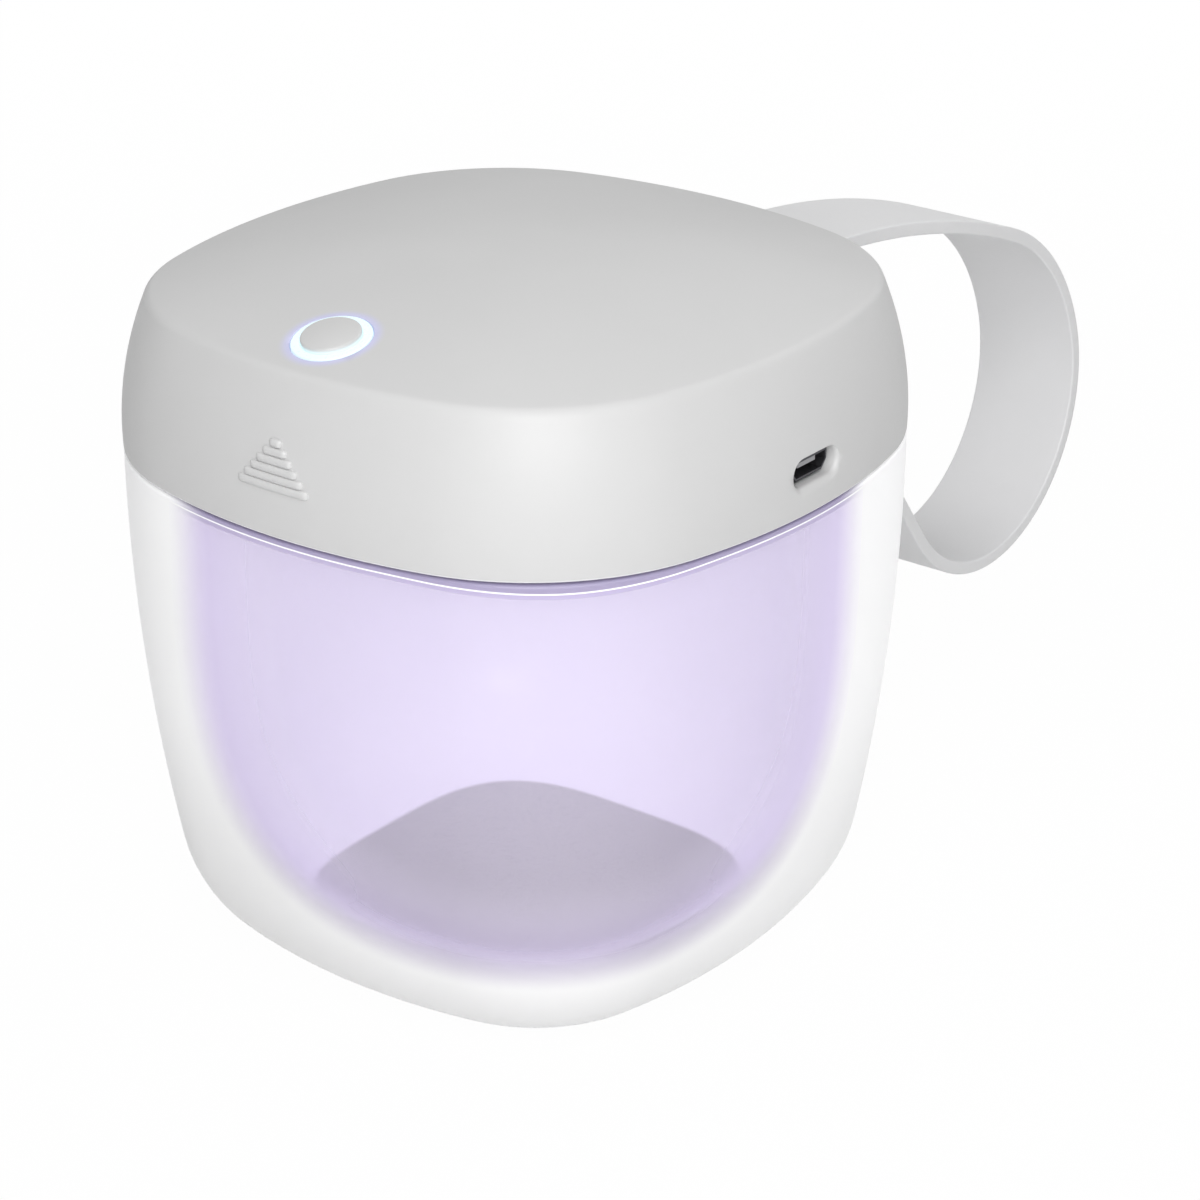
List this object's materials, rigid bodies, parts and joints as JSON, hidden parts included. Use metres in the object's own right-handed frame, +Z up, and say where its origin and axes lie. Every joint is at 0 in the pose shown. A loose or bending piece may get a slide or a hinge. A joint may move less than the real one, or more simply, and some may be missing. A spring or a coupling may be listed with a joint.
{
  "type": "pacifier sterilizer case",
  "caption": "Rounded square travel case with a clear chamber, a hinged lid holding an ultraviolet lamp, battery and lit button, and a soft carrying strap.",
  "frame": {"origin": "middle of the flat underside of the base", "axes": "+Z up, front with the thumb grip and button at -Y, hinge and strap at +Y, charging port at +X"},
  "size_m": [0.092, 0.174, 0.0949],
  "materials": {
    "base_white": "satin translucent moulded",
    "liner_clear": "frosted translucent",
    "steel": "satin",
    "lid_grey": "fine matte moulded",
    "ring_light": "frosted, lit",
    "button_grey": "satin",
    "board_green": "solder mask",
    "board_white": "white solder mask",
    "black_plastic": "moulded",
    "lamp_white": "gloss",
    "battery_foil": "foil",
    "foam": "foam",
    "lead_red": "sleeved",
    "lead_white": "sleeved",
    "window_clear": "polished",
    "cover_white": "moulded",
    "seal_silicone": "soft",
    "strap_silicone": "soft matte silicone"
  },
  "bodies": {
    "base": {"base_shell": "base_white", "chamber_liner": "liner_clear", "lid_magnet": "steel", "hinge_pins": "steel"},
    "lid": {"lid_shell": "lid_grey", "light_ring": "ring_light", "switch_board": "board_green", "tact_switch": "black_plastic", "ring_lamps": "lamp_white", "main_board": "board_green", "board_chips": "black_plastic", "port_can": "steel", "port_tongue": "black_plastic", "lid_sensor": "black_plastic", "battery": "battery_foil", "battery_pad": "foam", "battery_leads": "lead_red", "lamp_board": "board_white", "uv_lamps": "lamp_white", "lamp_window": "window_clear", "lamp_leads": "lead_white", "inner_cover": "cover_white", "lid_seal": "seal_silicone", "cover_screws": "steel", "strap_bar": "steel"},
    "button": {"button_cap": "button_grey"},
    "strap": {"strap": "strap_silicone"}
  },
  "joints": [
    {"name": "lid_hinge", "type": "hinge", "parent": "base", "child": "lid", "pos_m": [0, 0.048, 0.06865], "axis": [-1, 0, 0], "range_deg": [0, 100]},
    {"name": "power_button", "type": "slide", "parent": "lid", "child": "button", "axis": [0, 0.2338, -0.9723], "range_m": [0, 0.0004], "stiffness_N_per_m": 400},
    {"name": "strap_swing", "type": "hinge", "parent": "lid", "child": "strap", "pos_m": [0, 0.05025, 0.0764], "axis": [-1, 0, 0], "range_deg": [-100, 0]}
  ],
  "couplings": [
    {"joint": "strap_swing", "follows": "lid_hinge", "ratio": -1}
  ]
}
